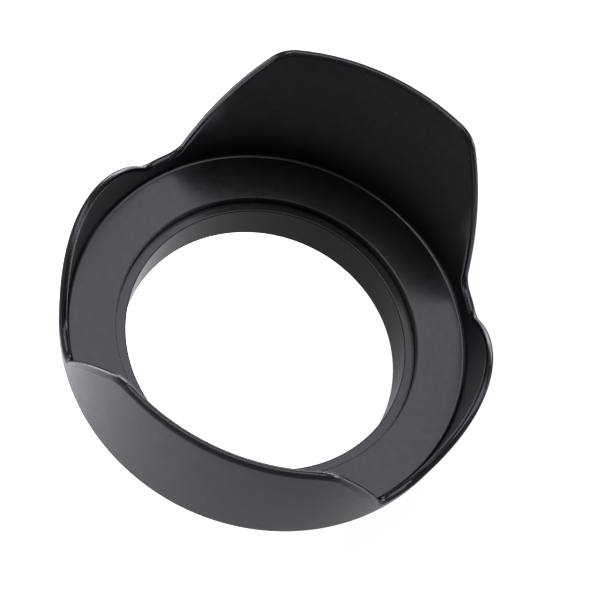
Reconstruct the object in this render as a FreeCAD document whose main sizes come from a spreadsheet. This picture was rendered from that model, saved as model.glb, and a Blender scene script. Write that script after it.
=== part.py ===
"""Screw-in petal lens hood: a rotating petal shell clamped on an M58 x 0.75 mount ring.

Frame: +Z is the optical axis and points to the subject, the long petals lie on +Y and -Y,
the short petals on +X and -X. The origin is the middle of the mount ring's rear end face.
All lengths are millimetres.
"""

import FreeCAD, Part
import math
import os
import re

import Sketcher

doc = FreeCAD.newDocument("lens_hood")

# ---------------------------------------------------------------- driving dimensions
DIMENSIONS = {
    # mount ring
    "bore_radius": 27.8,
    "bore_edge_fillet": 0.25,
    "lens_thread_length": 2.8,
    "relief_top": 3.4,
    "relief_radius": 28.42,
    "outer_thread_top": 6.6,
    "flange_bottom": 8.0,
    "flange_top": 9.22,
    "flange_radius": 29.75,
    "keyway_width": 3.0,
    "keyway_radius": 28.45,
    # thread form, shared by the mount ring and the lock ring
    "thread_radius": 28.95,
    "thread_root_radius": 28.5,
    "thread_pitch": 0.75,
    "thread_lead_in": 0.45,
    "crest_width": 0.094,
    "flank_slope": 0.5774,
    "flank_gap": 0.06,
    "overcut": 0.05,
    # petal shell
    "hub_hole_radius": 29.05,
    "hub_outer_radius": 33.0,
    "hub_bottom": 6.2,
    "seat_height": 7.7,
    "seat_radius": 29.85,
    "web_inner_height": 11.34,
    "web_outer_height": 11.82,
    "shoulder_height": 10.0,
    "wall_inner_radius": 39.41,
    "wall_thickness": 1.6,
    "wall_flare": 0.0585,
    "shoulder_fillet": 2.6,
    "hub_fillet": 0.8,
    "floor_fillet": 0.6,
    "seat_edge_fillet": 0.2,
    "rim_fillet": 0.77,
    # rim of the short petals, seen along X
    "blank_height": 46.5,
    "cut_height": 50.0,
    "cut_reach": 50.0,
    "valley_height": 16.24,
    "short_petal_top": 25.83,
    "short_petal_radius": 24.2,
    "petal_root_radius": 3.5,
    "valley_half_width": 22.9,
    # rim of the long petals, each flank seen along its own azimuth
    "flank_azimuth": 50.0,
    "flank_radius": 116.0,
    "flank_centre_across": 100.2,
    "flank_centre_height": -26.34,
    "flank_cut_low": 12.0,
    "flank_cut_high": 24.0,
    "valley_corner_radius": 3.3,
    "tip_height": 45.4,
    "tip_corner_radius": 6.0,
    # washers
    "washer_inner_radius": 29.05,
    "washer_outer_radius": 29.75,
    "slip_outer_radius": 32.6,
    "key_width": 2.8,
    "key_tip_radius": 28.62,
    "key_root_radius": 29.4,
    # lock ring
    "lock_outer_radius": 34.4,
    "lock_bottom": 3.2,
    "lock_top": 5.9,
    "lock_minor_radius": 28.62,
    "lock_thread_radius": 29.05,
    "lock_chamfer": 0.4,
    "knurl_depth": 0.35,
    "knurl_half_width": 0.25,
    "lock_thread_start": 1.875,
    "lock_thread_height": 6.0,
}
KNURL_COUNT = 72

sheet = doc.addObject("Spreadsheet::Sheet", "Dimensions")
for row, (alias, value) in enumerate(DIMENSIONS.items(), start=1):
    sheet.set(f"A{row}", alias)
    sheet.set(f"B{row}", str(value))
    sheet.setAlias(f"B{row}", alias)
doc.recompute()


# ---------------------------------------------------------------- helpers
def bound(formula):
    """Rewrites a formula over the sheet's aliases so that other objects can use it."""
    return re.sub(r"[a-z_]{3,}", lambda word: "Dimensions." + word.group(), formula)


def worth(formula):
    """Value of a formula over the sheet's aliases."""
    return float(sheet.evalExpression(formula))


def new_body(label):
    """Adds an empty body whose label is the sub-part's name."""
    body = doc.addObject("PartDesign::Body", label)
    body.Label = label
    return body


def sketch_on(body, role, name):
    """Adds a sketch lying on one of the body's own origin planes."""
    plane = next(f for f in body.Origin.OriginFeatures if f.Role == role)
    sketch = body.newObject("Sketcher::SketchObject", name)
    sketch.AttachmentSupport = [(plane, "")]
    sketch.MapMode = "FlatFace"
    return sketch


def pin(sketch, geometry, point, axis, formula):
    """Holds one coordinate of a sketch point at a formula over the sheet's aliases."""
    value = worth(formula)
    if abs(value) < 1e-9:
        sketch_axis = -2 if axis == "X" else -1
        on_axis = Sketcher.Constraint("PointOnObject", geometry, point, sketch_axis)
        sketch.addConstraint(on_axis)
        return
    held = Sketcher.Constraint("Distance" + axis, -1, 1, geometry, point, value)
    index = sketch.addConstraint(held)
    sketch.setExpression(f"Constraints[{index}]", bound(formula))


def polyline(sketch, points, closed):
    """Draws straight segments through corners given as pairs of formulas."""
    first = sketch.GeometryCount
    places = [FreeCAD.Vector(worth(u), worth(v), 0) for u, v in points]
    following = places[1:] + places[:1]
    count = len(points) if closed else len(points) - 1
    for start, end in list(zip(places, following))[:count]:
        sketch.addGeometry(Part.LineSegment(start, end), False)
    for i in range(count if closed else count - 1):
        after = first + (i + 1) % count
        sketch.addConstraint(Sketcher.Constraint("Coincident", first + i, 2, after, 1))
    for i, (u, v) in enumerate(points):
        line, end = (first + i, 1) if i < count else (first + count - 1, 2)
        pin(sketch, line, end, "X", u)
        pin(sketch, line, end, "Y", v)
    return first, first + count - 1


def end_near(sketch, geometry, place):
    """Which end of a sketch curve, 1 or 2, lies at a place."""
    gap = (sketch.getPoint(geometry, 1) - place).Length
    return 1 if gap < 1e-6 else 2


def join(sketch, one, other, place, kind):
    """Joins two sketch curves end to end at a place: kind is Coincident or Tangent."""
    ends = (one, end_near(sketch, one, place), other, end_near(sketch, other, place))
    sketch.addConstraint(Sketcher.Constraint(kind, *ends))


def hold_radius(sketch, geometry, formula):
    """Binds the radius of a sketch arc or circle."""
    index = sketch.addConstraint(Sketcher.Constraint("Radius", geometry, worth(formula)))
    sketch.setExpression(f"Constraints[{index}]", bound(formula))


def circle(sketch, formula):
    """Draws a circle round the sketch's origin with a bound radius."""
    ring = Part.Circle(FreeCAD.Vector(0, 0, 0), FreeCAD.Vector(0, 0, 1), worth(formula))
    index = sketch.addGeometry(ring, False)
    sketch.addConstraint(Sketcher.Constraint("Coincident", index, 3, -1, 1))
    hold_radius(sketch, index, formula)


def revolve(body, name, points):
    """Turns a polygon in the XZ plane once round Z."""
    sketch = sketch_on(body, "XZ_Plane", name + "_profile")
    polyline(sketch, points, True)
    turned = body.newObject("PartDesign::Revolution", name)
    turned.Profile = sketch
    turned.ReferenceAxis = (sketch, ["V_Axis"])
    turned.Angle = 360
    doc.recompute()
    return turned


def pad(body, name, sketch, height):
    """Raises a sketch upwards by a bound height."""
    raised = body.newObject("PartDesign::Pad", name)
    raised.Profile = sketch
    raised.setExpression("Length", bound(height))
    doc.recompute()
    return raised


def cut_thread(body, name, points, height):
    """Cuts a right-hand helical groove of the shared pitch round Z."""
    sketch = sketch_on(body, "XZ_Plane", name + "_profile")
    polyline(sketch, points, True)
    before = body.Shape.Volume
    thread = body.newObject("PartDesign::SubtractiveHelix", name)
    thread.Profile = sketch
    thread.ReferenceAxis = (sketch, ["V_Axis"])
    thread.Mode = "pitch-height-angle"
    thread.setExpression("Pitch", bound("thread_pitch"))
    thread.setExpression("Height", bound(height))
    doc.recompute()
    require_less(body, before, name)
    return thread


def require_less(body, before, name):
    """Stops the run if a cut removed nothing."""
    if body.Shape.Volume >= before - 1e-3:
        raise RuntimeError(f"{name} removed nothing")


def edges_where(feature, wanted):
    """Names of a feature's edges that satisfy a test."""
    edges = feature.Shape.Edges
    return [f"Edge{i}" for i, edge in enumerate(edges, start=1) if wanted(edge)]


def dress(body, kind, name, base, wanted, size, formula):
    """Adds a fillet or chamfer on the edges of the base feature that satisfy a test."""
    edges = edges_where(base, wanted)
    if not edges:
        raise RuntimeError(f"{name} found no edge")
    dressed = body.newObject("PartDesign::" + kind, name)
    dressed.Base = (base, edges)
    dressed.setExpression(size, bound(formula))
    doc.recompute()
    return dressed


def level_circle(radius, height):
    """Test for a level circular edge at a radius and height."""
    r, z = worth(radius), worth(height)

    def wanted(edge):
        places = [v.Point for v in edge.Vertexes]
        at_height = all(abs(p.z - z) < 1e-3 for p in places)
        at_radius = all(abs(p.x**2 + p.y**2 - r**2) < 1e-3 * r for p in places)
        return at_height and at_radius and edge.Length > r

    return wanted


def rim_edge(edge):
    """Test for a rim edge: it follows the inner or outer wall above the valleys."""
    places = edge.discretize(9)
    rise = [place.z - worth("web_outer_height") for place in places]
    radii = [math.hypot(place.x, place.y) for place in places]
    inner = [r - worth("wall_flare") * z - worth("wall_inner_radius") for r, z in zip(radii, rise)]
    outer = [gap - worth("wall_thickness") for gap in inner]
    on_wall = min(max(map(abs, inner)), max(map(abs, outer))) < 5e-3
    return on_wall and min(place.z for place in places) > worth("valley_height") - 0.5


def arc_between(start, centre, end):
    """The shorter arc about a centre from a start to an end."""
    radius = (start - centre).Length
    middle = centre + (start + end - centre * 2).normalize() * radius
    return Part.Arc(start, middle, end)


def towards(start, end, distance):
    """Place at a distance from the start in the direction of the end."""
    return start + (end - start).normalize() * distance


def draw_short_petals(sketch):
    """Draws the region cleared above the short petals, seen along X.

    Its lower side is the arc of the petal, which runs through a root arc on each side
    into the level floor of a valley.
    """
    radius = worth("short_petal_radius")
    root = worth("petal_root_radius")
    valley = worth("valley_height")
    end = worth("valley_half_width")
    top = worth("cut_height")
    petal_centre = FreeCAD.Vector(0, worth("short_petal_top") - radius, 0)
    root_height = valley + root
    root_reach = math.sqrt((radius + root) ** 2 - (root_height - petal_centre.y) ** 2)
    petal_ends = []
    top_ends = []
    for side in (1, -1):
        root_centre = FreeCAD.Vector(side * root_reach, root_height, 0)
        petal_end = towards(petal_centre, root_centre, radius)
        root_low = FreeCAD.Vector(side * root_reach, valley, 0)
        floor_end = FreeCAD.Vector(side * end, valley, 0)
        top_end = FreeCAD.Vector(side * end, top, 0)
        bend = sketch.addGeometry(arc_between(petal_end, root_centre, root_low), False)
        floor = sketch.addGeometry(Part.LineSegment(root_low, floor_end), False)
        wall = sketch.addGeometry(Part.LineSegment(floor_end, top_end), False)
        join(sketch, bend, floor, root_low, "Tangent")
        join(sketch, floor, wall, floor_end, "Coincident")
        hold_radius(sketch, bend, "petal_root_radius")
        sketch.addConstraint(Sketcher.Constraint("Horizontal", floor))
        across = "valley_half_width" if side > 0 else "-(valley_half_width)"
        pin(sketch, wall, 1, "X", across)
        pin(sketch, wall, 1, "Y", "valley_height")
        pin(sketch, wall, 2, "X", across)
        pin(sketch, wall, 2, "Y", "cut_height")
        petal_ends.append((bend, petal_end))
        top_ends.append((wall, top_end))

    petal = sketch.addGeometry(arc_between(petal_ends[0][1], petal_centre, petal_ends[1][1]), False)
    for bend, where in petal_ends:
        join(sketch, petal, bend, where, "Tangent")
    hold_radius(sketch, petal, "short_petal_radius")
    pin(sketch, petal, 3, "Y", "short_petal_top - short_petal_radius")
    lid = sketch.addGeometry(Part.LineSegment(top_ends[0][1], top_ends[1][1]), False)
    for wall, where in top_ends:
        join(sketch, lid, wall, where, "Coincident")


def draw_flank(sketch):
    """Draws the region cleared beside one long petal, seen along the flank's azimuth.

    Its lower side is the level floor of a valley, a corner arc, the long arc of the
    flank, another corner arc and the level tip of the petal.
    """
    valley = worth("valley_height")
    tip = worth("tip_height")
    low_radius = worth("valley_corner_radius")
    high_radius = worth("tip_corner_radius")
    radius = worth("flank_radius")
    centre = FreeCAD.Vector(worth("flank_centre_across"), worth("flank_centre_height"), 0)
    low_rise = valley + low_radius - centre.y
    low_reach = math.sqrt((radius + low_radius) ** 2 - low_rise**2)
    low_centre = FreeCAD.Vector(centre.x - low_reach, valley + low_radius, 0)
    high_rise = tip - high_radius - centre.y
    high_reach = math.sqrt((radius - high_radius) ** 2 - high_rise**2)
    high_centre = FreeCAD.Vector(centre.x - high_reach, tip - high_radius, 0)
    corners = [
        FreeCAD.Vector(-worth("flank_cut_low"), valley, 0),
        FreeCAD.Vector(low_centre.x, valley, 0),
        towards(centre, low_centre, radius),
        towards(centre, high_centre, radius),
        FreeCAD.Vector(high_centre.x, tip, 0),
        FreeCAD.Vector(worth("cut_reach"), tip, 0),
        FreeCAD.Vector(worth("cut_reach"), worth("cut_height"), 0),
        FreeCAD.Vector(-worth("flank_cut_high"), worth("cut_height"), 0),
    ]
    curves = [
        Part.LineSegment(corners[0], corners[1]),
        arc_between(corners[1], low_centre, corners[2]),
        arc_between(corners[2], centre, corners[3]),
        arc_between(corners[3], high_centre, corners[4]),
        Part.LineSegment(corners[4], corners[5]),
        Part.LineSegment(corners[5], corners[6]),
        Part.LineSegment(corners[6], corners[7]),
        Part.LineSegment(corners[7], corners[0]),
    ]
    for curve in curves:
        sketch.addGeometry(curve, False)
    kinds = ["Tangent"] * 4 + ["Coincident"] * 4
    for i, kind in enumerate(kinds):
        after = (i + 1) % len(curves)
        join(sketch, i, after, corners[after], kind)
    for curve, formula in ((1, "valley_corner_radius"), (2, "flank_radius"), (3, "tip_corner_radius")):
        hold_radius(sketch, curve, formula)
    pin(sketch, 2, 3, "X", "flank_centre_across")
    pin(sketch, 2, 3, "Y", "flank_centre_height")
    for curve in (0, 4):
        sketch.addConstraint(Sketcher.Constraint("Horizontal", curve))
    pin(sketch, 7, 2, "X", "-(flank_cut_low)")
    pin(sketch, 7, 2, "Y", "valley_height")
    pin(sketch, 5, 1, "X", "cut_reach")
    pin(sketch, 5, 1, "Y", "tip_height")
    pin(sketch, 5, 2, "X", "cut_reach")
    pin(sketch, 5, 2, "Y", "cut_height")
    pin(sketch, 7, 1, "X", "-(flank_cut_high)")
    pin(sketch, 7, 1, "Y", "cut_height")


# ---------------------------------------------------------------- petal shell
shell = new_body("petal_shell")
outer_wall = "wall_inner_radius + wall_thickness + wall_flare * ({} - web_outer_height)"
inner_wall = "wall_inner_radius + wall_flare * ({} - web_outer_height)"
revolve(
    shell,
    "shell_blank",
    [
        ("hub_hole_radius", "hub_bottom"),
        ("hub_outer_radius", "hub_bottom"),
        ("hub_outer_radius", "shoulder_height"),
        (outer_wall.format("shoulder_height"), "shoulder_height"),
        (outer_wall.format("blank_height"), "blank_height"),
        (inner_wall.format("blank_height"), "blank_height"),
        ("wall_inner_radius", "web_outer_height"),
        ("seat_radius", "web_inner_height"),
        ("seat_radius", "seat_height"),
        ("hub_hole_radius", "seat_height"),
    ],
)

short_outline = sketch_on(shell, "YZ_Plane", "short_outline")
draw_short_petals(short_outline)
blank_volume = shell.Shape.Volume
short_cut = shell.newObject("PartDesign::Pocket", "short_cut")
short_cut.Profile = short_outline
short_cut.Type = "ThroughAll"
short_cut.SideType = "Symmetric"
doc.recompute()
require_less(shell, blank_volume, "short_cut")

flank_outline = sketch_on(shell, "YZ_Plane", "flank_outline")
upright = FreeCAD.Vector(0, 1, 0)
turn = FreeCAD.Rotation(upright, worth("flank_azimuth"))
flank_outline.AttachmentOffset = FreeCAD.Placement(FreeCAD.Vector(0, 0, 0), turn)
draw_flank(flank_outline)
uncut_volume = shell.Shape.Volume
flank_cut = shell.newObject("PartDesign::Pocket", "flank_cut")
flank_cut.Profile = flank_outline
flank_cut.Reversed = True
flank_cut.setExpression("Length", bound("cut_reach"))
doc.recompute()
require_less(shell, uncut_volume, "flank_cut")

planes = {plane.Role: plane for plane in shell.Origin.OriginFeatures}
flanks = shell.newObject("PartDesign::MultiTransform", "flanks")
flanks.Originals = [flank_cut]
mirrors = []
for role in ("XZ_Plane", "YZ_Plane"):
    mirror = shell.newObject("PartDesign::Mirrored", "flanks_about_" + role[:2])
    mirror.MirrorPlane = (planes[role], [""])
    mirrors.append(mirror)
flanks.Transformations = mirrors
shell.Tip = flanks
doc.recompute()

shell_edges = [
    ("shoulder_round", level_circle(outer_wall.format("shoulder_height"), "shoulder_height"),
     "shoulder_fillet"),
    ("hub_round", level_circle("hub_outer_radius", "shoulder_height"), "hub_fillet"),
    ("floor_round", level_circle("wall_inner_radius", "web_outer_height"), "floor_fillet"),
    ("seat_edge_round", level_circle("seat_radius", "web_inner_height"), "seat_edge_fillet"),
    ("rim_round", rim_edge, "rim_fillet"),
]
last = flanks
for name, wanted, formula in shell_edges:
    last = dress(shell, "Fillet", name, last, wanted, "Radius", formula)

# ---------------------------------------------------------------- mount ring
mount = new_body("mount_ring")
ring_turned = revolve(
    mount,
    "ring_turned",
    [
        ("bore_radius", "0"),
        ("thread_root_radius", "0"),
        ("thread_radius", "thread_lead_in"),
        ("thread_radius", "lens_thread_length"),
        ("relief_radius", "lens_thread_length"),
        ("relief_radius", "relief_top"),
        ("thread_radius", "relief_top"),
        ("thread_radius", "flange_bottom"),
        ("flange_radius", "flange_bottom"),
        ("flange_radius", "flange_top"),
        ("bore_radius", "flange_top"),
    ],
)
dress(
    mount,
    "Fillet",
    "bore_edge_round",
    ring_turned,
    level_circle("bore_radius", "flange_top"),
    "Radius",
    "bore_edge_fillet",
)
keyway_profile = sketch_on(mount, "XY_Plane", "keyway_profile")
polyline(
    keyway_profile,
    [
        ("keyway_radius", "-keyway_width / 2"),
        ("flange_radius + 1", "-keyway_width / 2"),
        ("flange_radius + 1", "keyway_width / 2"),
        ("keyway_radius", "keyway_width / 2"),
    ],
    True,
)
turned_volume = mount.Shape.Volume
keyway = mount.newObject("PartDesign::Pocket", "keyway")
keyway.Profile = keyway_profile
keyway.Reversed = True
keyway.setExpression("Length", bound("hub_bottom"))
doc.recompute()
require_less(mount, turned_volume, "keyway")

groove_half = "(thread_pitch - crest_width) / 2"
root_half = f"({groove_half} - flank_slope * (thread_radius - thread_root_radius))"
mouth_half = f"({groove_half} + flank_slope * overcut)"
cut_thread(
    mount,
    "outer_thread",
    [
        ("thread_root_radius", f"-thread_pitch - {root_half}"),
        ("thread_radius + overcut", f"-thread_pitch - {mouth_half}"),
        ("thread_radius + overcut", f"-thread_pitch + {mouth_half}"),
        ("thread_root_radius", f"-thread_pitch + {root_half}"),
    ],
    "outer_thread_top + thread_pitch",
)

# ---------------------------------------------------------------- washers
friction_washer = new_body("friction_washer")
washer_outline = sketch_on(friction_washer, "XY_Plane", "washer_outline")
washer_outline.setExpression("AttachmentOffset.Base.z", bound("seat_height"))
circle(washer_outline, "washer_inner_radius")
circle(washer_outline, "washer_outer_radius")
pad(friction_washer, "washer_sheet", washer_outline, "flange_bottom - seat_height")

slip_washer = new_body("slip_washer")
slip_outline = sketch_on(slip_washer, "XY_Plane", "slip_outline")
slip_outline.setExpression("AttachmentOffset.Base.z", bound("lock_top"))
circle(slip_outline, "washer_inner_radius")
circle(slip_outline, "slip_outer_radius")
pad(slip_washer, "slip_sheet", slip_outline, "hub_bottom - lock_top")
key_outline = sketch_on(slip_washer, "XY_Plane", "key_outline")
key_outline.setExpression("AttachmentOffset.Base.z", bound("lock_top"))
polyline(
    key_outline,
    [
        ("key_tip_radius", "-key_width / 2"),
        ("key_root_radius", "-key_width / 2"),
        ("key_root_radius", "key_width / 2"),
        ("key_tip_radius", "key_width / 2"),
    ],
    True,
)
pad(slip_washer, "key", key_outline, "hub_bottom - lock_top")

# ---------------------------------------------------------------- lock ring
lock = new_body("lock_ring")
lock_turned = revolve(
    lock,
    "lock_turned",
    [
        ("lock_minor_radius", "lock_bottom"),
        ("lock_outer_radius", "lock_bottom"),
        ("lock_outer_radius", "lock_top"),
        ("lock_minor_radius", "lock_top"),
    ],
)
lock_rims = [level_circle("lock_outer_radius", z) for z in ("lock_top", "lock_bottom")]
dress(
    lock,
    "Chamfer",
    "lock_bevel",
    lock_turned,
    lambda edge: any(is_rim(edge) for is_rim in lock_rims),
    "Size",
    "lock_chamfer",
)
knurl_profile = sketch_on(lock, "XY_Plane", "knurl_profile")
polyline(
    knurl_profile,
    [
        ("lock_outer_radius - knurl_depth", "0"),
        ("lock_outer_radius + knurl_depth", "-knurl_half_width * 2"),
        ("lock_outer_radius + knurl_depth", "knurl_half_width * 2"),
    ],
    True,
)
smooth_volume = lock.Shape.Volume
knurl_cut = lock.newObject("PartDesign::Pocket", "knurl_cut")
knurl_cut.Profile = knurl_profile
knurl_cut.Reversed = True
knurl_cut.setExpression("Length", bound("hub_bottom"))
doc.recompute()
require_less(lock, smooth_volume, "knurl_cut")
knurl = lock.newObject("PartDesign::PolarPattern", "knurl")
knurl.Originals = [knurl_cut]
knurl.Axis = (knurl_profile, ["N_Axis"])
knurl.Angle = 360
knurl.Occurrences = KNURL_COUNT
lock.Tip = knurl
doc.recompute()

space_half = "(crest_width / 2 + flank_slope * (thread_radius - ({})) + flank_gap)"
inner_mouth = space_half.format("lock_minor_radius - overcut")
inner_root = space_half.format("lock_thread_radius")
cut_thread(
    lock,
    "inner_thread",
    [
        ("lock_minor_radius - overcut", f"lock_thread_start - {inner_mouth}"),
        ("lock_thread_radius", f"lock_thread_start - {inner_root}"),
        ("lock_thread_radius", f"lock_thread_start + {inner_root}"),
        ("lock_minor_radius - overcut", f"lock_thread_start + {inner_mouth}"),
    ],
    "lock_thread_height",
)

# ---------------------------------------------------------------- hand-over
NODES = ["petal_shell", "mount_ring", "friction_washer", "slip_washer", "lock_ring"]
for item in doc.Objects:
    if {"Invalid", "Error"} & set(item.State):
        raise RuntimeError(f"{item.Name} is {item.State}")
os.makedirs("parts", exist_ok=True)
for node in NODES:
    shape = doc.getObject(node).Shape
    if shape.isNull() or not shape.isValid() or len(shape.Solids) != 1:
        raise RuntimeError(f"{node} is not one sound solid")
    shape.exportStep(f"parts/{node}.step")
    box = shape.BoundBox
    size = (round(box.XLength, 2), round(box.YLength, 2), round(box.ZLength, 2))
    print(node, size, round(shape.Volume, 1))
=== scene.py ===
"""Looks of the screw-in petal lens hood: procedural finishes, studio and camera."""

import math

import bpy
from mathutils import Matrix, Vector


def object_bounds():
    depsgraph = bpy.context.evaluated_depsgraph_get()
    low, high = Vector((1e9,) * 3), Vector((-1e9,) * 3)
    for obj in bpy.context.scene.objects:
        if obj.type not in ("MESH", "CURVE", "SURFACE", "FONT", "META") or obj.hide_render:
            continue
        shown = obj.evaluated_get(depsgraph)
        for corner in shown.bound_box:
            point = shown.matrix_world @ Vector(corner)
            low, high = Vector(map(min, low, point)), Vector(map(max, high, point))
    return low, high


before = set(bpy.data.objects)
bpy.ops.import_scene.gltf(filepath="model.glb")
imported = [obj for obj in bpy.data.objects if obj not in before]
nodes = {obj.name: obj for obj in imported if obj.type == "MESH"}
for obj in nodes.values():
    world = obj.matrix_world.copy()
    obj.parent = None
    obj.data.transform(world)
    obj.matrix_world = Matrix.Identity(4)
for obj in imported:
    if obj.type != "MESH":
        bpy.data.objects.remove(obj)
cad_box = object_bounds()

# ---------------------------------------------------------------- the hood's sizes, in metres
WEB_HEIGHT = 0.01182
WEB_EDGE = 0.0391
WALL_INNER_RADIUS = 0.03941
WALL_THICKNESS = 0.0016
# The petal wall leans outwards by this much for each metre of height.
WALL_FLARE = 0.0585
# The radius of the wall's middle line, carried down to the origin's height.
WALL_MIDDLE = WALL_INNER_RADIUS + WALL_THICKNESS / 2 - WALL_FLARE * WEB_HEIGHT
BORE_RADIUS = 0.02785

# ---------------------------------------------------------------- where one finish meets another
BORE_BLEND = 0.0001
WALL_BLEND = 0.0003
# The rim's finish starts above the web and covers the crest, and little of its outer side.
RIM_FROM_HEIGHT = 0.0130
RIM_HEIGHT_BLEND = 0.001
RIM_HALF_WIDTH = 0.00070
RIM_WIDTH_BLEND = 0.00006
RIM_OUTER_FROM = 0.0001
RIM_OUTER_TO = 0.0003
RIM_OUTER_SHARE = 0.12
# The short petals stand along X: these are shares of the radius that X takes up.
SHORT_PETAL_FROM = 0.62
SHORT_PETAL_TO = 0.82

# ---------------------------------------------------------------- finishes
# Two colours to vary between, a range of roughness, grain cycles in a metre and its strength, and
# the gloss, which is the shader's specular level.
OUTER_LOOK = {
    "colours": ((0.0200, 0.0195, 0.0225), (0.0240, 0.0235, 0.0270)),
    "roughness": (0.27, 0.31),
    "grain_scale": 9000.0,
    "grain": 0.07,
    "gloss": 0.018,
}
RIM_LOOK = {
    "colours": ((0.0030, 0.0029, 0.0036), (0.0042, 0.0041, 0.0050)),
    "roughness": (0.20, 0.26),
    "grain_scale": 9000.0,
    "grain": 0.2,
    "gloss": 0.5,
}
WEB_LOOK = {
    "colours": ((0.0026, 0.0025, 0.0030), (0.0036, 0.0035, 0.0042)),
    "roughness": (0.21, 0.27),
    "grain_scale": 9000.0,
    "grain": 0.2,
    "gloss": 0.5,
}
LONG_PETAL_LOOK = {
    "colours": ((0.0022, 0.0021, 0.0026), (0.0034, 0.0033, 0.0040)),
    "roughness": (0.55, 0.62),
    "grain_scale": 7000.0,
    "grain": 0.35,
    "gloss": 0.12,
}
SHORT_PETAL_LOOK = {
    "colours": ((0.0026, 0.0025, 0.0030), (0.0036, 0.0035, 0.0042)),
    "roughness": (0.20, 0.25),
    "grain_scale": 7000.0,
    "grain": 0.2,
    "gloss": 0.5,
}
BORE_LOOK = {
    "colours": ((0.0030, 0.0029, 0.0034), (0.0045, 0.0044, 0.0050)),
    "roughness": (0.30, 0.36),
    "grain_scale": 12000.0,
    "grain": 0.15,
    "gloss": 0.03,
}
METAL_LOOK = {
    "colours": ((0.0035, 0.0034, 0.0038), (0.0050, 0.0049, 0.0055)),
    "roughness": (0.22, 0.28),
    "grain_scale": 12000.0,
    "grain": 0.15,
    "gloss": 0.5,
}
NYLON_LOOK = {
    "colours": ((0.010, 0.010, 0.010), (0.014, 0.014, 0.014)),
    "roughness": (0.50, 0.60),
    "grain_scale": 16000.0,
    "grain": 0.1,
    "gloss": 0.4,
}
# Cycles in a metre of the uneven colour, and how many times finer the uneven gloss is.
PLASTIC_PATCHES = 260.0
METAL_PATCHES = 500.0
NYLON_PATCHES = 900.0
FINER_GLOSS = 3.0
GRAIN_DEPTH = 0.00002
IOR = 1.5
# The reflections are tinted cool: a painted tint of the cool studio light, on top of the lamps'
# own tint.
COOL_TINT = (0.94, 0.92, 1.0, 1.0)
# One cell in twenty holds a speck.
DUST_COLOUR = (0.09, 0.09, 0.10, 1.0)
DUST_CELL = 0.0016
DUST_RADIUS = 0.00012
DUST_SHARE = 0.05
# The share of a speck's radius that is solid, before its edge fades.
DUST_CORE = 0.6

# ---------------------------------------------------------------- studio
COOL_WHITE = (0.95, 0.94, 1.0)
SURROUNDINGS = 0.25
FLOOR_SIZE = 6.0
FLOOR_COLOURS = ((0.14, 0.14, 0.14), (0.16, 0.16, 0.16))
FLOOR_PATCHES = 3.0
FLOOR_ROUGHNESS = 0.9
# The floor's glow is a painted light: it is brighter to the left of the hood than to its right, so
# it lights the hood more from the left.
GLOW_LEFT = 3.2
GLOW_RIGHT = 0.97
GLOW_LEFT_X = -0.06
GLOW_RIGHT_X = 0.03
# Name, place, width and height, and power in watts.
SOFT_BOXES = (
    ("overhead", (0.06, 0.273, 0.80), (1.3, 0.4), 4.35),
    ("above", (-0.30, -0.04, 0.85), (0.4, 0.25), 1.4),
    ("front_left", (-0.60, -0.35, 0.30), (0.4, 0.4), 1.2),
    ("behind", (0.0, 1.1, 0.16), (1.4, 0.3), 10.0),
    ("right", (0.9, 0.55, 0.18), (0.5, 0.3), 4.0),
    ("left", (-1.1, 0.1, 0.16), (0.9, 0.3), 1.0),
)

# ---------------------------------------------------------------- camera
AZIMUTH, ELEVATION, ROLL = (math.radians(angle) for angle in (-1.31, 60.84, 25.56))
DISTANCE = 0.3301
OFFSET_RIGHT = 0.00501
OFFSET_UP = 0.00657
FOCAL_LENGTH_MM = 103.3
SENSOR_WIDTH_MM = 36.0


# ---------------------------------------------------------------- node helpers
def new_material(name):
    """An empty node material with its output and principled shader."""
    material = bpy.data.materials.new(name)
    material.use_nodes = True
    tree = material.node_tree
    tree.nodes.clear()
    output = tree.nodes.new("ShaderNodeOutputMaterial")
    shader = tree.nodes.new("ShaderNodeBsdfPrincipled")
    tree.links.new(shader.outputs["BSDF"], output.inputs["Surface"])
    return material, tree, shader


def noise(tree, scale, detail=2.0):
    """Noise over the object's own coordinates, in cycles per metre."""
    place = tree.nodes.new("ShaderNodeTexCoord")
    texture = tree.nodes.new("ShaderNodeTexNoise")
    texture.inputs["Scale"].default_value = scale
    texture.inputs["Detail"].default_value = detail
    texture.inputs["Roughness"].default_value = 0.5
    tree.links.new(place.outputs["Object"], texture.inputs["Vector"])
    return texture.outputs["Fac"]


def spread(tree, value, low, high, start=0.3, end=0.7):
    """Maps a value between start and end, by default a noise's, to a range."""
    node = tree.nodes.new("ShaderNodeMapRange")
    node.inputs["From Min"].default_value = start
    node.inputs["From Max"].default_value = end
    node.inputs["To Min"].default_value = low
    node.inputs["To Max"].default_value = high
    tree.links.new(value, node.inputs["Value"])
    return node.outputs["Result"]


def maths(tree, operation, first, second=0.0):
    """One sum on two values, each a number or a socket."""
    node = tree.nodes.new("ShaderNodeMath")
    node.operation = operation
    for socket, value in zip(node.inputs, (first, second)):
        if isinstance(value, (int, float)):
            socket.default_value = value
        else:
            tree.links.new(value, socket)
    return node.outputs["Value"]


def mix_colour(tree, factor, dark, light):
    """Blend of two colours by a factor."""
    node = tree.nodes.new("ShaderNodeMix")
    node.data_type = "RGBA"
    node.inputs["A"].default_value = (*dark, 1.0)
    node.inputs["B"].default_value = (*light, 1.0)
    tree.links.new(factor, node.inputs["Factor"])
    return node.outputs["Result"]


def bump(tree, height, strength, distance):
    """Normal from a height value."""
    node = tree.nodes.new("ShaderNodeBump")
    node.inputs["Strength"].default_value = strength
    node.inputs["Distance"].default_value = distance
    tree.links.new(height, node.inputs["Height"])
    return node.outputs["Normal"]


def blend(tree, factor, first, second):
    """Mix of two shader outputs."""
    node = tree.nodes.new("ShaderNodeMixShader")
    tree.links.new(factor, node.inputs["Fac"])
    tree.links.new(first, node.inputs[1])
    tree.links.new(second, node.inputs[2])
    return node.outputs["Shader"]


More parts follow.
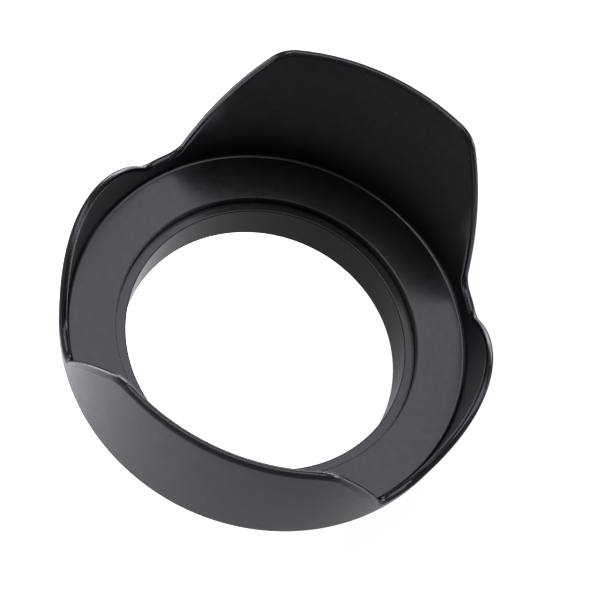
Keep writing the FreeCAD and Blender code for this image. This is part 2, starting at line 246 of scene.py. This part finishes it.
def show(tree, surface):
    """Sends a mixed shader to the material's output."""
    output = next(node for node in tree.nodes if node.type == "OUTPUT_MATERIAL")
    tree.links.new(surface, output.inputs["Surface"])


# ---------------------------------------------------------------- materials
def dust(tree):
    """Sparse round specks: one in the middle of a share of the cells."""
    place = tree.nodes.new("ShaderNodeTexCoord")
    cells = tree.nodes.new("ShaderNodeTexVoronoi")
    cells.inputs["Scale"].default_value = 1.0 / DUST_CELL
    tree.links.new(place.outputs["Object"], cells.inputs["Vector"])
    lot = tree.nodes.new("ShaderNodeSeparateColor")
    tree.links.new(cells.outputs["Color"], lot.inputs["Color"])
    drawn = maths(tree, "LESS_THAN", lot.outputs["Red"], DUST_SHARE)
    reach = DUST_RADIUS / DUST_CELL
    speck = spread(tree, cells.outputs["Distance"], 1.0, 0.0, DUST_CORE * reach, reach)
    return maths(tree, "MULTIPLY", drawn, speck)


def finish(tree, shader, look, patches):
    """Near-black plastic or metal: uneven colour and gloss, a fine grain and some dust."""
    tone = spread(tree, noise(tree, patches, detail=3.0), 0.0, 1.0)
    clean = mix_colour(tree, tone, *look["colours"])
    dusty = tree.nodes.new("ShaderNodeMix")
    dusty.data_type = "RGBA"
    dusty.inputs["B"].default_value = DUST_COLOUR
    tree.links.new(clean, dusty.inputs["A"])
    tree.links.new(dust(tree), dusty.inputs["Factor"])
    tree.links.new(dusty.outputs["Result"], shader.inputs["Base Color"])
    sheen = noise(tree, FINER_GLOSS * patches, detail=4.0)
    roughness = spread(tree, sheen, *look["roughness"])
    tree.links.new(roughness, shader.inputs["Roughness"])
    relief = bump(tree, noise(tree, look["grain_scale"]), look["grain"], GRAIN_DEPTH)
    tree.links.new(relief, shader.inputs["Normal"])
    shader.inputs["IOR"].default_value = IOR
    shader.inputs["Specular IOR Level"].default_value = look["gloss"]
    shader.inputs["Specular Tint"].default_value = COOL_TINT


def plain(name, look, patches):
    """A material with one finish all over."""
    material, tree, shader = new_material(name)
    finish(tree, shader, look, patches)
    return material


def layered(name, looks, patches):
    """A material with one shader for each look, still to be mixed, and the object's own place."""
    material, tree, first = new_material(name)
    shaders = [first]
    for _ in looks[1:]:
        shaders.append(tree.nodes.new("ShaderNodeBsdfPrincipled"))
    for shader, look in zip(shaders, looks):
        finish(tree, shader, look, patches)
    place = tree.nodes.new("ShaderNodeTexCoord")
    parts = tree.nodes.new("ShaderNodeSeparateXYZ")
    tree.links.new(place.outputs["Object"], parts.inputs["Vector"])
    across = maths(tree, "POWER", parts.outputs["X"], 2.0)
    along = maths(tree, "POWER", parts.outputs["Y"], 2.0)
    radius = maths(tree, "POWER", maths(tree, "ADD", across, along), 0.5)
    return material, tree, [shader.outputs["BSDF"] for shader in shaders], parts.outputs, radius


def rim_share(tree, off_middle, height):
    """Where the rim's finish shows, from the distance outwards of the wall's middle line."""
    from_middle = maths(tree, "ABSOLUTE", off_middle)
    crest = spread(tree, from_middle, 1.0, 0.0, RIM_HALF_WIDTH, RIM_HALF_WIDTH + RIM_WIDTH_BLEND)
    outer = spread(tree, off_middle, 1.0, RIM_OUTER_SHARE, RIM_OUTER_FROM, RIM_OUTER_TO)
    high = spread(tree, height, 0.0, 1.0, RIM_FROM_HEIGHT, RIM_FROM_HEIGHT + RIM_HEIGHT_BLEND)
    return maths(tree, "MULTIPLY", maths(tree, "MULTIPLY", crest, outer), high)


def shell_plastic():
    """The shell's plastic: satin outside, semi-gloss on web, rim and short petals, matt inside."""
    looks = [OUTER_LOOK, WEB_LOOK, LONG_PETAL_LOOK, SHORT_PETAL_LOOK, RIM_LOOK]
    material, tree, shaders, place, radius = layered("black_abs", looks, PLASTIC_PATCHES)
    outer, web, long_petal, short_petal, rim = shaders
    lean = maths(tree, "MULTIPLY", place["Z"], WALL_FLARE)
    off_middle = maths(tree, "SUBTRACT", maths(tree, "SUBTRACT", radius, lean), WALL_MIDDLE)
    sideways = maths(tree, "ABSOLUTE", maths(tree, "DIVIDE", place["X"], radius))
    on_short = spread(tree, sideways, 0.0, 1.0, SHORT_PETAL_FROM, SHORT_PETAL_TO)
    on_wall = spread(tree, radius, 0.0, 1.0, WEB_EDGE, WEB_EDGE + WALL_BLEND)
    outside = spread(tree, off_middle, 0.0, 1.0, -WALL_BLEND, WALL_BLEND)
    petals = blend(tree, on_short, long_petal, short_petal)
    inside = blend(tree, on_wall, web, petals)
    wall = blend(tree, outside, inside, outer)
    show(tree, blend(tree, rim_share(tree, off_middle, place["Z"]), wall, rim))
    return material


def mount_metal():
    """The mount ring's metal: satin ledge and threads, and a dull bore."""
    looks = [BORE_LOOK, METAL_LOOK]
    material, tree, (bore, ledge), _, radius = layered("black_anodised", looks, METAL_PATCHES)
    past_bore = spread(tree, radius, 0.0, 1.0, BORE_RADIUS, BORE_RADIUS + BORE_BLEND)
    show(tree, blend(tree, past_bore, bore, ledge))
    return material


def coat(node, material):
    """Gives a CAD node one finish."""
    slots = nodes[node].data.materials
    slots.clear()
    slots.append(material)


def coat_nodes():
    """Gives each of the five CAD nodes its material."""
    nylon = plain("black_nylon", NYLON_LOOK, NYLON_PATCHES)
    coat("petal_shell", shell_plastic())
    coat("mount_ring", mount_metal())
    coat("lock_ring", plain("black_metal", METAL_LOOK, METAL_PATCHES))
    coat("friction_washer", nylon)
    coat("slip_washer", nylon)


# ---------------------------------------------------------------- studio and camera
def pale_floor():
    """A wide pale floor that glows: a painted light, brighter to the left of the hood, that lights
    the hood more from the left.
    """
    bpy.ops.mesh.primitive_plane_add(size=FLOOR_SIZE, location=(0.0, 0.0, cad_box[0][2]))
    floor = bpy.context.active_object
    floor.name = "floor"
    material, tree, shader = new_material("pale_floor")
    tone = spread(tree, noise(tree, FLOOR_PATCHES), 0.0, 1.0)
    tree.links.new(mix_colour(tree, tone, *FLOOR_COLOURS), shader.inputs["Base Color"])
    shader.inputs["Roughness"].default_value = FLOOR_ROUGHNESS
    shader.inputs["Emission Color"].default_value = (*COOL_WHITE, 1.0)
    place = tree.nodes.new("ShaderNodeTexCoord")
    parts = tree.nodes.new("ShaderNodeSeparateXYZ")
    tree.links.new(place.outputs["Object"], parts.inputs["Vector"])
    glow = spread(tree, parts.outputs["X"], GLOW_LEFT, GLOW_RIGHT, GLOW_LEFT_X, GLOW_RIGHT_X)
    tree.links.new(glow, shader.inputs["Emission Strength"])
    floor.data.materials.append(material)


def soft_box(name, place, size, power):
    """An area light of a width and height, aimed at the object."""
    light = bpy.data.lights.new(name, "AREA")
    light.shape = "RECTANGLE"
    light.size, light.size_y = size
    light.energy = power
    light.color = COOL_WHITE
    lamp = bpy.data.objects.new(name, light)
    bpy.context.scene.collection.objects.link(lamp)
    lamp.location = place
    lamp.rotation_euler = (-Vector(place)).to_track_quat("-Z", "Y").to_euler()


def studio():
    """Pale surroundings, two soft boxes above, and low ones around."""
    world = bpy.data.worlds.new("studio")
    bpy.context.scene.world = world
    world.use_nodes = True
    background = world.node_tree.nodes["Background"]
    background.inputs["Color"].default_value = (*COOL_WHITE, 1.0)
    background.inputs["Strength"].default_value = SURROUNDINGS
    for name, place, size, power in SOFT_BOXES:
        soft_box(name, place, size, power)


def camera():
    """The camera looks down into the hood from the front of one long petal."""
    back = Vector((
        math.sin(AZIMUTH) * math.cos(ELEVATION),
        -math.cos(AZIMUTH) * math.cos(ELEVATION),
        math.sin(ELEVATION),
    ))
    level = Vector((math.cos(AZIMUTH), math.sin(AZIMUTH), 0.0))
    upright = back.cross(level)
    right = level * math.cos(ROLL) + upright * math.sin(ROLL)
    up = upright * math.cos(ROLL) - level * math.sin(ROLL)
    target = Vector((0.0, 0.0, WEB_HEIGHT))
    place = target + back * DISTANCE + right * OFFSET_RIGHT + up * OFFSET_UP
    lens = bpy.data.cameras.new("camera")
    lens.sensor_width = SENSOR_WIDTH_MM
    lens.lens = FOCAL_LENGTH_MM
    eye = bpy.data.objects.new("camera", lens)
    bpy.context.scene.collection.objects.link(eye)
    turn = Matrix((right, up, back)).transposed().to_4x4()
    eye.matrix_world = Matrix.Translation(place) @ turn
    bpy.context.scene.camera = eye


coat_nodes()
pale_floor()
studio()
camera()

bpy.context.scene.view_settings.view_transform = "Standard"
